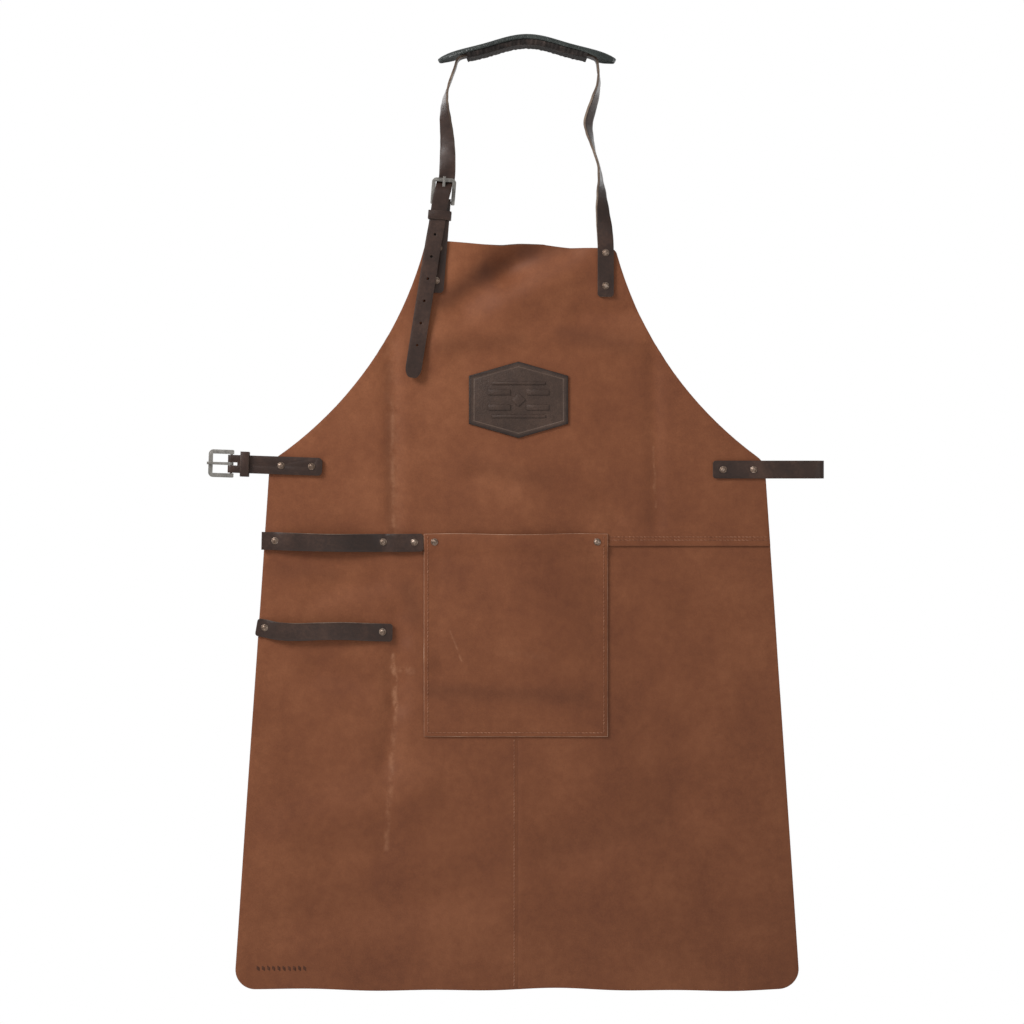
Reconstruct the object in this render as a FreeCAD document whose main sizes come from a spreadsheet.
import FreeCAD, Part
import math
import os
import Sketcher

os.makedirs("parts", exist_ok=True)
doc = FreeCAD.newDocument("apron")
Vector = FreeCAD.Vector
Rotation = FreeCAD.Rotation

# The leather apron hangs by its neck pad. The origin is the middle of the pad's underside, where
# the hook would touch it. X runs to the wearer's left as seen from the front, the front faces -Y.
SIZES = {
    # leathers and the room between pieces that move on each other
    "panel_thick": 2.0, "strap_thick": 2.5, "neck_width": 18.0, "waist_width": 20.0,
    "slack": 0.35,
    # bib and skirt: half widths are taken from the apron's middle line
    "body_mid": -11.0, "bib_shift": 4.0, "bib_half": 106.0, "bib_left_z": -219.0,
    "bib_right_z": -227.0, "bib_round": 9.0, "armhole_radius": 420.0, "waist_half": 277.0,
    "waist_z": -466.0, "waist_round": 22.0, "hem_half": 317.0, "hem_z": -1057.0,
    "hem_round": 22.0, "bib_lower_z": -560.0, "lap": 12.0, "centre_seam_x": -10.0,
    "centre_tuck": 10.0,
    # pocket: flat borders round a raised front
    "pocket_left": -115.5, "pocket_width": 206.0, "pocket_top": -546.5, "pocket_height": 227.0,
    "pocket_border": 17.0, "pocket_hem": 8.0, "pocket_room": 7.5, "pocket_rivet_in": 12.0,
    "pocket_rivet_down": 9.0,
    # six-sided badge
    "badge_x": -9.5, "badge_z": -396.5, "badge_half_width": 55.5, "badge_half_height": 42.8,
    "badge_side_half": 26.9, "badge_thick": 2.0,
    # rivets
    "rivet_radius": 4.0, "rivet_rim": 0.6, "rivet_dome": 1.0, "post_radius": 1.5,
    "hole_gap": 0.1, "back_cap": 1.0,
    # buckles: heel bar, flat frame round it, prong
    "bar_radius": 1.1, "frame_thick": 2.6, "frame_corner": 5.0, "prong_width": 2.4,
    "prong_thick": 1.7, "prong_eye": 1.0, "prong_fit": 0.08, "prong_rest": 0.1,
    "prong_over": 1.6, "heel_room": 1.4, "slot_side": 0.5, "slot_length": 7.0, "keeper_wall": 1.5,
    "keeper_length": 9.6, "keeper_at": 15.3,
    # neck buckle and its tab
    "neck_bar_x": -94.5, "neck_bar_z": -175.0, "neck_lean": 4.5, "neck_tab_length": 102.0,
    "neck_frame_room": 8.6, "neck_frame_reach": 26.6, "neck_rail": 3.6, "neck_keeper_room": 8.0,
    "neck_keeper_shift": -1.9, "neck_rivet_near": 52.0, "neck_rivet_far": 88.5,
    # waist buckle and its tab
    "waist_bar_x": -331.0, "waist_bar_z": -468.0, "waist_lean": -88.0, "waist_tab_length": 102.0,
    "waist_frame_room": 10.4, "waist_frame_reach": 25.2, "waist_rail": 4.1,
    "waist_keeper_room": 8.0, "waist_rivet_near": 56.0, "waist_rivet_far": 90.0,
    # waist strap: riveted end in front, turned round the side and put away behind the apron
    "tie_turn_x": 327.0, "tie_z": -474.5, "tie_front": 119.0, "tie_back": 560.0,
    "tie_turn_radius": 3.5, "tie_rivet_near": 73.5, "tie_rivet_far": 107.5, "tie_hole_end": 60.0,
    # tool straps
    "upper_x": -297.0, "upper_z": -554.0, "upper_tilt": 0.6, "upper_length": 181.0,
    "upper_rivet_a": 15.0, "upper_rivet_b": 136.3, "upper_rivet_c": 171.0,
    "lower_x": -303.0, "lower_z": -651.0, "lower_tilt": 2.1, "lower_length": 152.5,
    "lower_rivet_a": 9.3, "lower_rivet_b": 141.5,
    "long_loop": 8.0, "short_loop": 5.0, "rivet_seat": 5.5, "tool_round": 3.0,
    # neck strap: riveted end, holes and tail
    "strap_right_in": 99.0, "strap_rivet_near": 5.0, "strap_rivet_far": 42.0,
    "strap_end_below": 12.2, "strap_hole_radius": 1.5, "hole_pitch": 25.0,
    "first_hole": -37.5, "tail_point": 11.0,
    # neck pad, an arch about one centre
    "arch_radius": 195.0, "lining_thick": 1.5, "pad_top": 206.0, "cover_thick": 1.8,
    "pad_depth": 40.0, "pad_half_angle": 29.2, "tunnel_half_angle": 20.5,
    "strap_arc_half_angle": 22.5, "strap_end_round": 5.0,
}
HAIR = 0.0001  # keeps a profile's first corner off the sketch's own axis
THROUGH = 60.0  # a drill or cutter this long passes through every layer
BEND_CUT = math.tan(math.radians(22.5))  # a strap's outer corner at a 45 degree bend
SLOPE_CUT = math.sqrt(2)  # a layer's thickness measured level on a 45 degree slope
TIE_HOLES, NECK_HOLES, ARC_STEPS = 7, 6, 16

sheet = doc.addObject("Spreadsheet::Sheet", "Sizes")
for row, (alias, value) in enumerate(SIZES.items(), start=1):
    sheet.set(f"A{row}", alias)
    sheet.set(f"B{row}", str(value))
    sheet.setAlias(f"B{row}", alias)
doc.recompute()


class Size:
    """A measure: its value now, and the formula in sheet cells that gives it."""

    def __init__(self, value, text):
        self.value = value
        self.text = text

    def __add__(self, other):
        other = as_size(other)
        return Size(self.value + other.value, f"({self.text} + {other.text})")

    def __sub__(self, other):
        other = as_size(other)
        return Size(self.value - other.value, f"({self.text} - {other.text})")

    def __mul__(self, other):
        other = as_size(other)
        return Size(self.value * other.value, f"({self.text} * {other.text})")

    def __truediv__(self, other):
        other = as_size(other)
        return Size(self.value / other.value, f"({self.text} / {other.text})")

    def __radd__(self, other):
        return as_size(other) + self

    def __rsub__(self, other):
        return as_size(other) - self

    def __rmul__(self, other):
        return as_size(other) * self

    def __neg__(self):
        return Size(-self.value, f"(0 - {self.text})")


def as_size(measure):
    return measure if isinstance(measure, Size) else Size(measure, f"({measure})")


def sine(angle):
    return Size(math.sin(math.radians(angle.value)), f"sin({angle.text})")


def cosine(angle):
    return Size(math.cos(math.radians(angle.value)), f"cos({angle.text})")


class Sizes:
    """Each sheet cell by its alias."""


S = Sizes()
for alias, value in SIZES.items():
    setattr(S, alias, Size(value, f"Sizes.{alias}"))


def bind(item, **measures):
    """Ties properties of an object to sheet cells."""
    for name, measure in measures.items():
        item.setExpression(name, as_size(measure).text)
    return item


def place(item, x=0, y=0, z=0, turn=0, axis=(0, 1, 0)):
    """Ties an object's placement to sheet cells: a turn about axis, then a shift."""
    item.Placement = FreeCAD.Placement(Vector(), Rotation(Vector(*axis), 90))
    for name, measure in (("x", x), ("y", y), ("z", z)):
        item.setExpression(f"Placement.Base.{name}", as_size(measure).text)
    item.setExpression("Placement.Rotation.Angle", f"{as_size(turn).text} * 1deg")
    return item


def new_body(name):
    return doc.addObject("PartDesign::Body", name)


def outline(body, name, role, corners):
    """Closed sketch on one of the body's own planes. A corner is (across, up) or (across, up,
    radius), where radius is that of the arc leaving it, positive if it bows to its left."""
    plane = [item for item in body.Origin.OriginFeatures if item.Role == role][0]
    sketch = body.newObject("Sketcher::SketchObject", name)
    sketch.AttachmentSupport = [(plane, "")]
    sketch.MapMode = "FlatFace"
    points = [Vector(as_size(corner[0]).value, as_size(corner[1]).value, 0) for corner in corners]
    starts, ends = [], []
    for index, corner in enumerate(corners):
        here, there = points[index], points[(index + 1) % len(points)]
        if len(corner) == 2:
            sketch.addGeometry(Part.LineSegment(here, there), False)
        else:
            radius = corner[2].value
            half = (there - here).Length / 2
            rise = abs(radius) - math.sqrt(radius * radius - half * half)
            left = Vector(here.y - there.y, there.x - here.x, 0).normalize()
            middle = (here + there) / 2 + left * math.copysign(rise, radius)
            sketch.addGeometry(Part.Arc(here, middle, there), False)
        forward = (sketch.getPoint(index, 1) - here).Length < 1e-6
        starts.append(1 if forward else 2)
        ends.append(2 if forward else 1)
    for index, corner in enumerate(corners):
        following = (index + 1) % len(corners)
        sketch.addConstraint(Sketcher.Constraint(
            "Coincident", index, ends[index], following, starts[following]))
    for index, corner in enumerate(corners):
        for kind, axis_id, measure in (("DistanceX", -2, corner[0]), ("DistanceY", -1, corner[1])):
            if not isinstance(measure, Size):
                sketch.addConstraint(Sketcher.Constraint(
                    "PointOnObject", index, starts[index], axis_id))
                continue
            number = sketch.addConstraint(Sketcher.Constraint(
                kind, -1, 1, index, starts[index], measure.value))
            sketch.renameConstraint(number, f"corner{index}_{kind}")
            sketch.setExpression(f"Constraints.corner{index}_{kind}", measure.text)
        if len(corner) == 3:
            radius = corner[2] if corner[2].value > 0 else -corner[2]
            number = sketch.addConstraint(Sketcher.Constraint("Radius", index, radius.value))
            sketch.renameConstraint(number, f"radius{index}")
            sketch.setExpression(f"Constraints.radius{index}", radius.text)
    return sketch


def pad(body, sketch, length, reverse=False, both_ways=False):
    feature = body.newObject("PartDesign::Pad", sketch.Name + "_pad")
    feature.Profile = sketch
    feature.Reversed = reverse
    feature.Midplane = both_ways
    bind(feature, Length=length)
    sketch.Visibility = False
    doc.recompute()
    return feature


def round_corners(body, corners, radius, along="y"):
    """Fillets the body's straight edges that run along one axis and pass nearest the corners.
    A corner is its two other coordinates, in X, Y, Z order."""
    others = [name for name in "xyz" if name != along]
    base = body.Tip
    picked = []
    for corner in corners:
        goal = [as_size(value).value for value in corner]
        distances = []
        for number, edge in enumerate(base.Shape.Edges, start=1):
            first, last = edge.Vertexes[0].Point, edge.Vertexes[-1].Point
            run = last - first
            if run.Length < 0.5 or abs(getattr(run, along)) < 0.999 * run.Length:
                continue
            middle = (first + last) / 2
            gap = math.hypot(*(getattr(middle, name) - value for name, value in zip(others, goal)))
            distances.append((gap, f"Edge{number}"))
        nearest = min(distances)[0]
        picked += [name for gap, name in distances if gap < nearest + 0.01]
    fillet = body.newObject("PartDesign::Fillet", f"{body.Name}_round_{len(body.Group)}")
    fillet.Base = (base, sorted(set(picked)))
    bind(fillet, Radius=radius)
    doc.recompute()
    return fillet


def box(name, low, high):
    """A box between two corners."""
    item = doc.addObject("Part::Box", name)
    sizes = [as_size(top) - bottom for bottom, top in zip(low, high)]
    bind(item, Length=sizes[0], Width=sizes[1], Height=sizes[2])
    return place(item, *low)


def rod(name, radius, length, x=0, y=0, z=0, turn=90, axis=(1, 0, 0)):
    """A cylinder: turned 90 about X it runs to -Y, turned 90 about Y it runs to +X."""
    item = doc.addObject("Part::Cylinder", name)
    bind(item, Radius=radius, Height=length)
    return place(item, x, y, z, turn, axis)


def join(name, items):
    fused = doc.addObject("Part::MultiFuse", name)
    fused.Shapes = items
    return fused


def cut(name, base, tools):
    result = doc.addObject("Part::Cut", name)
    result.Base = base
    result.Tool = tools[0] if len(tools) == 1 else join(name + "_tools", tools)
    return result


NODES = []


def node(item, name):
    item.Label = name
    NODES.append(item)
    return item


# Where the rivets go: points on the panels, worked out along each strap from its own end.
def along_strap(x, z, lean, distance):
    """The point at a distance down a strap whose upward direction leans from +Z towards +X."""
    return as_size(x) - sine(lean) * distance, as_size(z) - cosine(lean) * distance


def rivet_points(x, z, lean, *distances):
    return [along_strap(x, z, lean, distance) for distance in distances]


strap_right_x = S.body_mid + S.strap_right_in
strap_right_rivets = [(strap_right_x, S.bib_right_z - S.strap_rivet_near),
                      (strap_right_x, S.bib_right_z - S.strap_rivet_far)]
neck_tab_rivets = rivet_points(S.neck_bar_x, S.neck_bar_z, S.neck_lean,
                               S.neck_rivet_near, S.neck_rivet_far)
waist_tab_rivets = rivet_points(S.waist_bar_x, S.waist_bar_z, S.waist_lean,
                                S.waist_rivet_near, S.waist_rivet_far)
tie_rivets = [(S.tie_turn_x - S.tie_rivet_near, S.tie_z), (S.tie_turn_x - S.tie_rivet_far, S.tie_z)]
upper_rivets = rivet_points(S.upper_x, S.upper_z, S.upper_tilt - 90,
                            S.upper_rivet_a, S.upper_rivet_b, S.upper_rivet_c)
lower_rivets = rivet_points(S.lower_x, S.lower_z, S.lower_tilt - 90,
                            S.lower_rivet_a, S.lower_rivet_b)
pocket_rivets = [(S.pocket_left + S.pocket_rivet_in, S.pocket_top - S.pocket_rivet_down),
                 (S.pocket_left + S.pocket_width - S.pocket_rivet_in,
                  S.pocket_top - S.pocket_rivet_down)]

# Faces of the layers, from the front of the straps to the back of the skirt.
bib_front = -S.panel_thick
skirt_back = S.panel_thick
strap_front = bib_front - S.strap_thick
fold_inner = S.bar_radius + S.slack
bar_y = bib_front / 2
tab_front = bar_y - fold_inner - S.strap_thick
tab_back = bar_y + fold_inner + S.strap_thick


def drill(name, points, radius=None):
    """Drills that pass through every layer at the points."""
    size = radius if radius else S.post_radius + S.hole_gap
    return [rod(f"{name}_drill_{number}", size, THROUGH, x, THROUGH / 2, z)
            for number, (x, z) in enumerate(points)]


def side_half(height):
    """Half width of the apron at a height below the waist."""
    drop = (S.waist_z - height) / (S.waist_z - S.hem_z)
    return S.waist_half + (S.hem_half - S.waist_half) * drop


# Bib: the front panel from the neck to the lapped seam at the hips.
bib = new_body("bib_leather")
bib_left = S.body_mid + S.bib_shift - S.bib_half
bib_right = S.body_mid + S.bib_shift + S.bib_half
bib_corners = [
    (bib_left, S.bib_left_z), (bib_right, S.bib_right_z, -S.armhole_radius),
    (S.body_mid + S.waist_half, S.waist_z), (S.body_mid + side_half(S.bib_lower_z), S.bib_lower_z),
    (S.body_mid - side_half(S.bib_lower_z), S.bib_lower_z),
    (S.body_mid - S.waist_half, S.waist_z, -S.armhole_radius)]
pad(bib, outline(bib, "bib_outline", "XZ_Plane", bib_corners), S.panel_thick)
round_corners(bib, [bib_corners[0][:2], bib_corners[1][:2]], S.bib_round)
round_corners(bib, [bib_corners[2][:2], bib_corners[5][:2]], S.waist_round)
bib_holes = (strap_right_rivets + neck_tab_rivets + waist_tab_rivets + tie_rivets
             + upper_rivets + pocket_rivets)
node(cut("bib", bib, drill("bib", bib_holes)), "bib_panel")

# Skirt: two panels one layer behind the bib. The left one laps over the right one's tucked edge.
skirt_top = S.bib_lower_z + S.lap
left_skirt = new_body("left_skirt_leather")
left_corners = [
    (S.body_mid - side_half(skirt_top), skirt_top), (S.centre_seam_x, skirt_top),
    (S.centre_seam_x, S.hem_z), (S.body_mid - S.hem_half, S.hem_z)]
pad(left_skirt, outline(left_skirt, "left_skirt_outline", "XZ_Plane", left_corners), S.panel_thick)
round_corners(left_skirt, [left_corners[3]], S.hem_round)
place(left_skirt, y=S.panel_thick)
left_holes = upper_rivets + lower_rivets + pocket_rivets[:1]
node(cut("left_skirt", left_skirt, drill("left_skirt", left_holes)), "left_skirt_panel")

right_skirt = new_body("right_skirt_leather")
right_corners = [
    (S.centre_seam_x, skirt_top), (S.body_mid + side_half(skirt_top), skirt_top),
    (S.body_mid + S.hem_half, S.hem_z), (S.centre_seam_x, S.hem_z)]
pad(right_skirt, outline(right_skirt, "right_skirt_outline", "XZ_Plane", right_corners),
    S.panel_thick)
round_corners(right_skirt, [right_corners[2]], S.hem_round)
tuck_corners = [
    (S.centre_seam_x - S.centre_tuck, skirt_top), (S.centre_seam_x + S.centre_tuck / 2, skirt_top),
    (S.centre_seam_x + S.centre_tuck / 2, S.hem_z), (S.centre_seam_x - S.centre_tuck, S.hem_z)]
pad(right_skirt, outline(right_skirt, "tuck_outline", "XZ_Plane", tuck_corners), S.panel_thick,
    reverse=True)
place(right_skirt, y=S.panel_thick)
node(cut("right_skirt", right_skirt, drill("right_skirt", pocket_rivets[1:])), "right_skirt_panel")


# Pocket: flat borders, a raised front with sloping sides, open at the top. Its upper strip steps
# forward over the bib's lower edge.
def pocket_wedge(name, inset, depth, rise):
    """Block that narrows to the front; inset is from the borders' inner lines."""
    block = doc.addObject("Part::Wedge", name)
    left = S.pocket_left + S.pocket_border + inset
    right = S.pocket_left + S.pocket_width - S.pocket_border - inset
    low = S.pocket_top - S.pocket_height + S.pocket_hem + inset
    top = S.pocket_top + rise
    bind(block, Ymin=-depth, Ymax=0, X2min=left, X2max=right, Z2min=low, Z2max=top,
         Xmin=left + depth, Xmax=right - depth, Zmin=low + depth, Zmax=top)
    return block


pocket_right = S.pocket_left + S.pocket_width
pocket_bottom = S.pocket_top - S.pocket_height
lower_border = box("pocket_lower_border", (S.pocket_left, bib_front, pocket_bottom),
                   (pocket_right, 0, S.bib_lower_z))
upper_border = box("pocket_upper_border",
                   (S.pocket_left, bib_front * 2, S.bib_lower_z - S.panel_thick),
                   (pocket_right, bib_front, S.pocket_top))
raised = pocket_wedge("pocket_raised", as_size(0), S.pocket_room + S.panel_thick, as_size(0))
hollow = pocket_wedge("pocket_hollow", S.panel_thick * SLOPE_CUT, S.pocket_room, S.panel_thick)
bib_room = box("pocket_bib_room", (S.pocket_left - 1, bib_front, S.bib_lower_z),
               (pocket_right + 1, as_size(1), S.pocket_top + 1))
pocket = join("pocket_block", [lower_border, upper_border, raised])
node(cut("pocket", pocket, [hollow, bib_room] + drill("pocket", pocket_rivets)), "pocket")

# Badge: six-sided leather plate stitched on the bib.
badge = new_body("badge_leather")
wide, tall, side = S.badge_half_width, S.badge_half_height, S.badge_side_half
badge_corners = [(S.badge_x + across, S.badge_z + up) for across, up in (
    (0, tall), (wide, side), (wide, -side), (0, -tall), (-wide, -side), (-wide, side))]
pad(badge, outline(badge, "badge_outline", "XZ_Plane", badge_corners), S.badge_thick)
place(badge, y=bib_front)
node(badge, "badge")


# Folded straps: a strap turned back on itself round a heel bar or a free bend. The fold's axis is
# the local X axis, both legs run down, the front leg on the -Y side.
def folded_strap(name, width, inner, front_length, back_length, end_round):
    body = new_body(name + "_leather")
    outer = inner + S.strap_thick
    corners = [
        (-outer, -front_length), (-outer, 0, outer), (0, outer, outer), (outer, 0),
        (outer, -back_length), (inner, -back_length), (inner, 0, -inner), (0, inner, -inner),
        (-inner, 0), (-inner, -front_length)]
    pad(body, outline(body, name + "_profile", "YZ_Plane", corners), width, both_ways=True)
    legs = [front_length] if front_length is back_length else [front_length, back_length]
    for length in legs:
        round_corners(body, [(width / 2, -length), (-width / 2, -length)], end_round)
    return body


def local_drills(name, distances, radius=None):
    size = radius if radius else S.post_radius + S.hole_gap
    return [rod(f"{name}_drill_{number}", size, THROUGH, 0, THROUGH / 2, -distance)
            for number, distance in enumerate(distances)]


def buckle_tab(name, width, length, distances):
    """Tab folded round the heel bar, slotted for the prong and drilled for its rivets."""
    body = folded_strap(name, width, fold_inner, length, length, S.strap_end_round)
    half_slot = S.prong_width / 2 + S.slot_side
    outer = fold_inner + S.strap_thick
    slot = box(name + "_slot", (-half_slot, -outer - 1, -S.slot_length),
               (half_slot, outer + 1, outer + 1))
    return cut(name, body, [slot] + local_drills(name, distances))


def buckle_frame(name, width, reach, rail):
    """Flat rounded frame, open at the heel, where a round bar joins its two rails."""
    body = new_body(name + "_plate")
    low, high = -S.bar_radius - S.heel_room, reach
    half = width / 2
    corners = [(-half, high), (half, high), (half, low), (-half, low)]
    pad(body, outline(body, name + "_outline", "XZ_Plane", corners), S.frame_thick, both_ways=True)
    round_corners(body, corners[:2], S.frame_corner)
    round_corners(body, corners[2:], S.bar_radius)
    window = box(name + "_window", (-half + rail, -S.frame_thick, low - 1),
                 (half - rail, S.frame_thick, reach - rail))
    open_frame = cut(name + "_open", body, [window])
    bar = rod(name + "_bar", S.bar_radius, width - rail, (rail - width) / 2, 0, 0, 90, (0, 1, 0))
    return join(name, [open_frame, bar])


def buckle_prong(name, reach):
    """Eye round the heel bar and a flat pin that rests on the far bar."""
    eye_inner = S.bar_radius + S.prong_fit
    eye_outer = eye_inner + S.prong_eye
    half = S.prong_width / 2
    back = -S.frame_thick / 2 - S.prong_rest
    eye = rod(name + "_eye", eye_outer, S.prong_width, -half, 0, 0, 90, (0, 1, 0))
    pin = box(name + "_pin", (-half, back - S.prong_thick, as_size(0)),
              (half, back, reach + S.prong_over))
    bore = rod(name + "_bore", eye_inner, S.prong_width + 2, -half - 1, 0, 0, 90, (0, 1, 0))
    return cut(name, join(name + "_blank", [eye, pin]), [bore])


keeper_back = fold_inner + S.strap_thick + S.slack
keeper_front = -fold_inner - S.strap_thick * 2 - S.slack * 2


def strap_keeper(name, width, shift):
    """Leather loop round the tab and the strap that lies on it."""
    half, wall = width / 2, S.keeper_wall
    low, high = -S.keeper_at - S.keeper_length / 2, -S.keeper_at + S.keeper_length / 2
    outer = box(name + "_outer", (shift - half, keeper_front - wall, low),
                (shift + half, keeper_back + wall, high))
    inner = box(name + "_inner", (shift - half + wall, keeper_front, low - 1),
                (shift + half - wall, keeper_back, high + 1))
    return cut(name, outer, [inner])


BUCKLES = {
    "neck": (S.neck_width, S.neck_tab_length, (S.neck_rivet_near, S.neck_rivet_far),
             S.neck_width + S.neck_frame_room, S.neck_frame_reach, S.neck_rail,
             S.neck_width + S.neck_keeper_room,
             S.neck_keeper_shift, S.neck_bar_x, S.neck_bar_z, S.neck_lean),
    "waist": (S.waist_width, S.waist_tab_length, (S.waist_rivet_near, S.waist_rivet_far),
              S.waist_width + S.waist_frame_room, S.waist_frame_reach, S.waist_rail,
             S.waist_width + S.waist_keeper_room,
              as_size(0), S.waist_bar_x, S.waist_bar_z, S.waist_lean),
}
for side_name, values in BUCKLES.items():
    (width, length, distances, frame_width, reach, rail, keeper_width, shift,
     bar_x, bar_z, lean) = values
    pieces = {
        "buckle_tab": buckle_tab(side_name + "_tab", width, length, distances),
        "buckle_frame": buckle_frame(side_name + "_frame", frame_width, reach, rail),
        "buckle_prong": buckle_prong(side_name + "_prong", reach),
        "keeper": strap_keeper(side_name + "_keeper", keeper_width, shift),
    }
    for piece_name, piece in pieces.items():
        place(piece, bar_x, bar_y, bar_z, lean)
        node(piece, f"{side_name}_{piece_name}")

# Waist strap: riveted on the bib's right edge, turned back and put away behind the apron.
tie = folded_strap("tie", S.waist_width, S.tie_turn_radius, S.tie_front, S.tie_back,
                   S.strap_end_round)
tie_hole_distances = [S.tie_back - S.tie_hole_end - S.hole_pitch * step for step in range(TIE_HOLES)]
tie_drills = [rod(f"tie_post_drill_{number}", S.post_radius + S.hole_gap, THROUGH, 0, 0, -distance)
              for number, distance in enumerate((S.tie_rivet_near, S.tie_rivet_far))]
tie_drills += [rod(f"tie_hole_drill_{number}", S.strap_hole_radius, THROUGH, 0, THROUGH, -distance)
               for number, distance in enumerate(tie_hole_distances)]
waist_strap = place(cut("tie", tie, tie_drills), S.tie_turn_x, bib_front + S.tie_turn_radius,
                    S.tie_z, 90)
node(waist_strap, "waist_strap")


# Tool straps: flat where riveted, standing off the leather between rivets.
def tool_strap(name, length, loops, distances):
    """Strap lying along local X with its back on local y = 0; loops are (start, end, room)."""
    body = new_body(name + "_leather")
    thick = S.strap_thick
    shift = thick * BEND_CUT
    back, front = [(as_size(HAIR), 0)], [(as_size(HAIR), -thick)]
    for start, end, room in loops:
        back += [(start, 0), (start + room, -room), (end - room, -room), (end, 0)]
        front += [(start - shift, -thick), (start + room - shift, -room - thick),
                  (end - room + shift, -room - thick), (end + shift, -thick)]
    back.append((length, 0))
    front.append((length, -thick))
    pad(body, outline(body, name + "_profile", "XY_Plane", back + front[::-1]), S.waist_width,
        both_ways=True)
    half = S.waist_width / 2
    round_corners(body, [(0, half), (0, -half), (length, half), (length, -half)], S.tool_round)
    return cut(name, body, local_rods(name, distances))


def local_rods(name, distances):
    return [rod(f"{name}_drill_{number}", S.post_radius + S.hole_gap, THROUGH, distance,
                THROUGH / 2, 0)
            for number, distance in enumerate(distances)]


seat = S.rivet_seat
upper_loops = [(S.upper_rivet_a + seat, S.upper_rivet_b - seat, S.long_loop),
               (S.upper_rivet_b + seat, S.upper_rivet_c - seat, S.short_loop)]
upper = tool_strap("upper_tool", S.upper_length, upper_loops,
                   (S.upper_rivet_a, S.upper_rivet_b, S.upper_rivet_c))
node(place(upper, S.upper_x, bib_front, S.upper_z, S.upper_tilt), "upper_tool_strap")
lower_loops = [(S.lower_rivet_a + seat, S.lower_rivet_b - seat, S.long_loop)]
lower = tool_strap("lower_tool", S.lower_length, lower_loops, (S.lower_rivet_a, S.lower_rivet_b))
node(place(lower, S.lower_x, 0, S.lower_z, S.lower_tilt), "lower_tool_strap")


# Rivets: domed cap and post in one piece, and a flat cap pressed on from behind.
def rivet_group(name, points, front, back):
    rim, dome, radius = S.rivet_rim, S.rivet_dome, S.rivet_radius
    ball = (radius * radius + dome * dome) / (dome * 2)
    caps, backs = [], []
    for number, (x, z) in enumerate(points):
        tag = f"{name}_{number}"
        disc = rod(tag + "_rim", radius, rim, x, front, z)
        cap = doc.addObject("Part::Sphere", tag + "_dome")
        bind(cap, Radius=ball)
        flat = (ball - dome) / ball
        cap.setExpression("Angle1", f"asin({flat.text})")
        place(cap, x, front - rim + ball - dome, z, 90, (1, 0, 0))
        post = rod(tag + "_post", S.post_radius, back - front, x, back, z)
        caps.append(join(tag + "_cap", [disc, cap, post]))
        backs.append(rod(tag + "_back", radius, S.back_cap, x, back + S.back_cap, z))
    for label, members in ((name + "_rivets", caps), (name + "_rivet_backs", backs)):
        group = doc.addObject("Part::Compound", label)
        group.Links = members
        node(group, label)


rivet_group("neck_strap", strap_right_rivets, strap_front, as_size(0))
rivet_group("neck_tab", neck_tab_rivets, tab_front, tab_back)
rivet_group("waist_tab", waist_tab_rivets, tab_front, tab_back)
rivet_group("waist_strap", tie_rivets, strap_front, as_size(0))
rivet_group("upper_tool_strap", upper_rivets, strap_front, skirt_back)
rivet_group("lower_tool_strap", lower_rivets, -S.strap_thick, skirt_back)
rivet_group("pocket", pocket_rivets, bib_front * 2, skirt_back)


# Neck pad: lining, filling with the strap's tunnel, and cover, all arches about one centre.
def arch(name, inner, outer, half_angle, depth):
    body = new_body(name)
    across, up = sine(half_angle), cosine(half_angle)
    corners = [(-outer * across, outer * up, outer), (outer * across, outer * up),
               (inner * across, inner * up, -inner), (-inner * across, inner * up)]
    pad(body, outline(body, name + "_outline", "XZ_Plane", corners), depth, both_ways=True)
    return body


lining_top = S.arch_radius + S.lining_thick
tunnel_top = lining_top + S.slack * 2 + S.strap_thick
cover_inner = S.pad_top - S.cover_thick
tunnel_width = S.neck_width + S.slack * 4
inside_depth = S.pad_depth - S.cover_thick * 2
lining = arch("lining_arch", S.arch_radius, lining_top, S.tunnel_half_angle, inside_depth)
node(place(lining, z=-S.arch_radius), "neck_pad_lining")
filling = arch("filling_arch", lining_top, cover_inner, S.tunnel_half_angle, inside_depth)
tunnel = arch("tunnel_arch", lining_top - 1, tunnel_top, S.tunnel_half_angle + 1, tunnel_width)
node(place(cut("filling", filling, [tunnel]), z=-S.arch_radius), "neck_pad_filling")
cover_block = arch("cover_block", S.arch_radius, S.pad_top, S.tunnel_half_angle, S.pad_depth)
cover_sheet = arch("cover_sheet", cover_inner, S.pad_top, S.pad_half_angle, S.pad_depth)
inside = arch("cover_inside", S.arch_radius - 1, cover_inner, S.tunnel_half_angle + 1, inside_depth)
cover = cut("cover", join("cover_whole", [cover_block, cover_sheet]), [inside])
node(place(cover, z=-S.arch_radius), "neck_pad_cover")

# Neck strap: one flat strap from the bib's right corner, up, through the pad, down behind the
# buckle's far bar, out over its heel bar and down to the pointed tail. Each station is a point on
# its middle line and the twist of its width from the Y axis, positive outwards.
RIGHT_STATIONS = [
    (84.6, -1.6, -185.4, 52), (83.4, -1.0, -166.9, 33), (82.2, -0.6, -149.0, 14),
    (80.2, -0.3, -134.4, 6), (75.6, 0.0, -119.6, 6), (72.9, 0.0, -109.4, 13),
    (69.8, 0.0, -97.4, 23), (68.5, 0.0, -86.2, 30), (71.5, 0.0, -74.1, 29),
    (75.8, 0.0, -60.3, 23), (80.0, 0.0, -43.0, 9), (79.6, 0.0, -27.0, 0)]
LEFT_STATIONS = [
    (-81.0, 0.0, -26.0, 0), (-86.7, 0.0, -41.4, 0), (-89.6, 0.0, -50.5, 6),
    (-91.6, 0.0, -60.3, 16), (-92.1, 0.0, -69.4, 26), (-91.3, 0.2, -83.4, 40),
    (-89.9, 0.5, -97.4, 49), (-89.1, 0.8, -109.4, 57), (-88.9, 1.2, -125.2, 70)]


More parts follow.
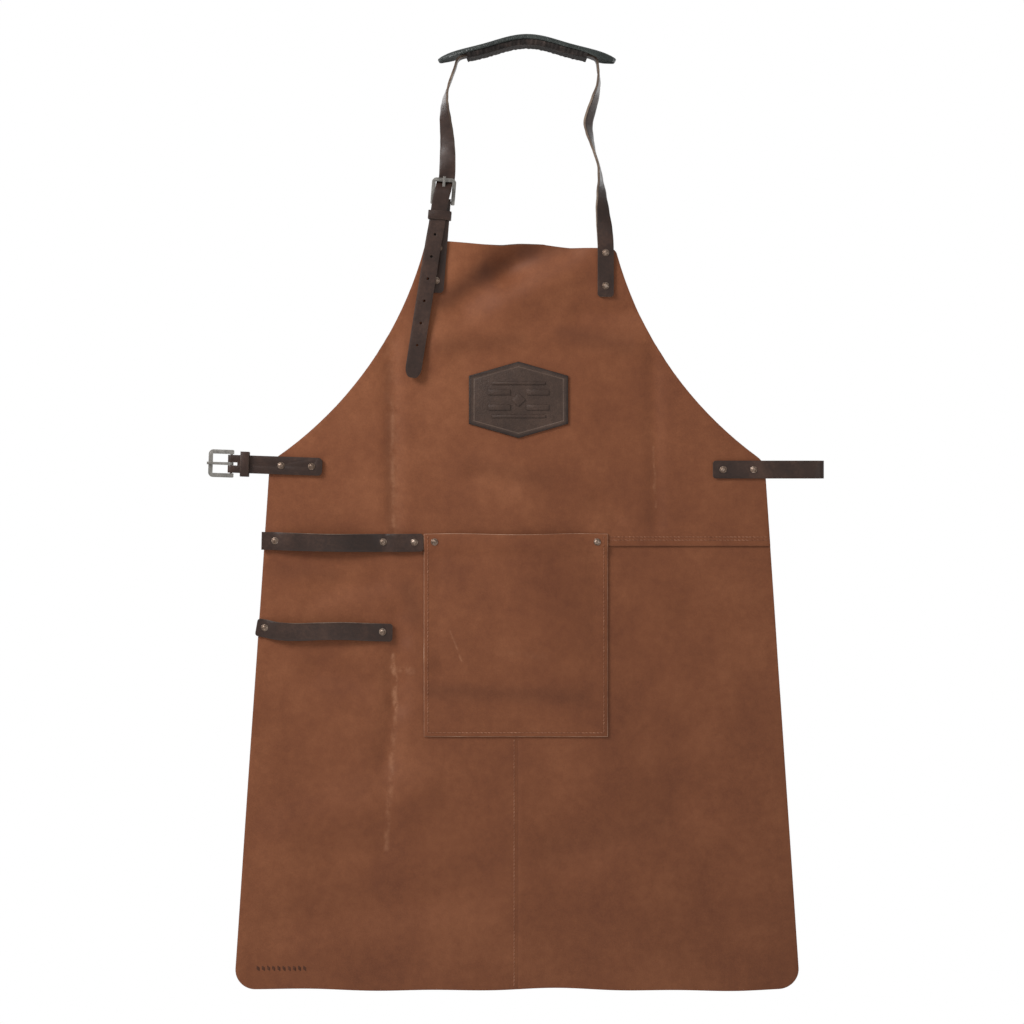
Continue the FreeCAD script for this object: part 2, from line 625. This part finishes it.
def buckle_point(across, depth, up):
    """A point in the neck buckle's own frame, carried to the apron's."""
    lean = math.radians(S.neck_lean.value)
    return (S.neck_bar_x.value + across * math.cos(lean) + up * math.sin(lean),
            bar_y.value + depth, S.neck_bar_z.value - across * math.sin(lean) + up * math.cos(lean))


def strap_stations():
    thick, slack = S.strap_thick.value, S.slack.value
    bib_middle = bib_front.value - thick / 2
    low = strap_right_rivets[1][1].value - S.strap_end_below.value
    x = strap_right_x.value
    stations = [(x, bib_middle, low, 90), (x, bib_middle, (low + S.bib_right_z.value) / 2, 90),
                (x, bib_middle, S.bib_right_z.value + 1, 90),
                (x - 1.2, bib_middle + 0.5, S.bib_right_z.value + 20, 74)]
    stations += RIGHT_STATIONS
    middle = lining_top.value + slack + thick / 2
    for step in range(ARC_STEPS + 1):
        angle = math.radians(S.strap_arc_half_angle.value * (1 - 2 * step / ARC_STEPS))
        stations.append((middle * math.sin(angle), 0.0,
                         middle * math.cos(angle) - S.arch_radius.value, 0))
    stations += [(x, y, z, -twist) for x, y, z, twist in LEFT_STATIONS]
    behind = S.frame_thick.value / 2 + thick / 2 + slack * 3
    before = -(fold_inner.value + thick * 1.5 + slack)
    reach = S.neck_frame_reach.value
    over_rivet = -(fold_inner.value + thick * 1.5 + slack + S.rivet_rim.value + S.rivet_dome.value)
    local = [(2.6, behind + 0.3, reach + 5), (2.2, behind, reach - 1), (0.5, behind - 1.4, reach - 5),
             (-0.3, before + 1.0, reach - 13), (-1.0, before, reach - 17), (-2.5, before, 0.0),
             (-4.2, before, -24.0), (-6.6, over_rivet, -48.0), (-10.4, over_rivet, -96.0),
             (-18.3, over_rivet, -199.0)]
    stations += [buckle_point(*point) + (-90,) for point in local]
    return stations


def strap_sections(stations):
    """The strap's cross-section at each station, and the frame it lies in."""
    half_width, half_thick = S.neck_width.value / 2, S.strap_thick.value / 2
    points = [Vector(*station[:3]) for station in stations]
    sections, frames = [], []
    for index, station in enumerate(stations):
        here = points[index]
        into = here - points[max(index - 1, 0)]
        out_of = points[min(index + 1, len(points) - 1)] - here
        run = (into.normalize() if into.Length else into) + (
            out_of.normalize() if out_of.Length else out_of)
        run.normalize()
        twist = math.radians(station[3])
        width = Vector(math.sin(twist), math.cos(twist), 0)
        width = (width - run * width.dot(run)).normalize()
        face = run.cross(width)
        corners = [here + width * (a * half_width) + face * (b * half_thick)
                   for a, b in ((-1, -1), (1, -1), (1, 1), (-1, 1), (-1, -1))]
        sections.append(Part.makePolygon(corners))
        frames.append((here, run, width, face))
    return sections, frames


stations = strap_stations()
sections, frames = strap_sections(stations)
ribbon = Part.makeLoft(sections, True, True)
tail_end, tail_run, tail_width, tail_face = frames[-1]
half_width = S.neck_width.value / 2
point_length = S.tail_point.value
TIP_HALF, TRIM_OVER = 2.0, 5.0  # half width of the tail's blunt tip; how far the trims reach past
TAIL_ACROSS, TAIL_UP, TAIL_SWING = -4.2, -24.0, 0.0815  # middle line of the hanging tail
PUNCH_FROM, PUNCH_LENGTH = -20.0, 19.0  # in front of the strap, and short of the leather behind it
for direction in (-1, 1):
    corner = tail_end + tail_width * (direction * half_width)
    tip = tail_end + tail_width * (direction * TIP_HALF)
    outside = tail_end + tail_width * (direction * (half_width + TRIM_OVER))
    trim = [corner - tail_run * point_length, tip, tip + tail_run * TRIM_OVER,
            outside + tail_run * TRIM_OVER, outside - tail_run * point_length,
            corner - tail_run * point_length]
    face = Part.Face(Part.makePolygon([vertex - tail_face * TRIM_OVER for vertex in trim]))
    ribbon = ribbon.cut(face.extrude(tail_face * TRIM_OVER * 2))
for number in range(NECK_HOLES):
    along = S.first_hole.value - S.hole_pitch.value * number
    across = TAIL_ACROSS + (along - TAIL_UP) * TAIL_SWING
    punch_start = Vector(*buckle_point(across, PUNCH_FROM, along))
    ribbon = ribbon.cut(Part.makeCylinder(S.strap_hole_radius.value, PUNCH_LENGTH, punch_start,
                                          Vector(0, 1, 0)))
for x, z in strap_right_rivets:
    radius = S.post_radius.value + S.hole_gap.value
    ribbon = ribbon.cut(Part.makeCylinder(radius, PUNCH_LENGTH * 2,
                                          Vector(x.value, PUNCH_FROM, z.value), Vector(0, 1, 0)))
prong_low = S.frame_thick.value / 2 + S.prong_rest.value - S.slack.value
prong_high = prong_low + S.prong_thick.value + 2 * S.slack.value
prong_half = S.prong_width.value / 2 + S.slack.value
prong_slot = Part.makeBox(prong_half * 2, prong_high - prong_low, S.neck_frame_reach.value + 4,
                          Vector(-prong_half, -prong_high, 0))
prong_slot.Placement = FreeCAD.Placement(
    Vector(S.neck_bar_x.value, bar_y.value, S.neck_bar_z.value),
    Rotation(Vector(0, 1, 0), S.neck_lean.value))
ribbon = ribbon.cut(prong_slot)
neck_strap = doc.addObject("Part::Feature", "strap_ribbon")
neck_strap.Shape = ribbon
node(neck_strap, "neck_strap")

doc.recompute()
faults = [item.Name for item in doc.Objects
          if "Invalid" in item.State or "Error" in item.State]
for item in NODES:
    if item.Shape.isNull() or not item.Shape.isValid() or not item.Shape.Solids:
        faults.append(item.Label)
if faults:
    raise RuntimeError(f"failed objects: {faults}")
for item in NODES:
    item.Shape.exportStep(os.path.join("parts", item.Label + ".step"))
print(len(NODES), "nodes written")
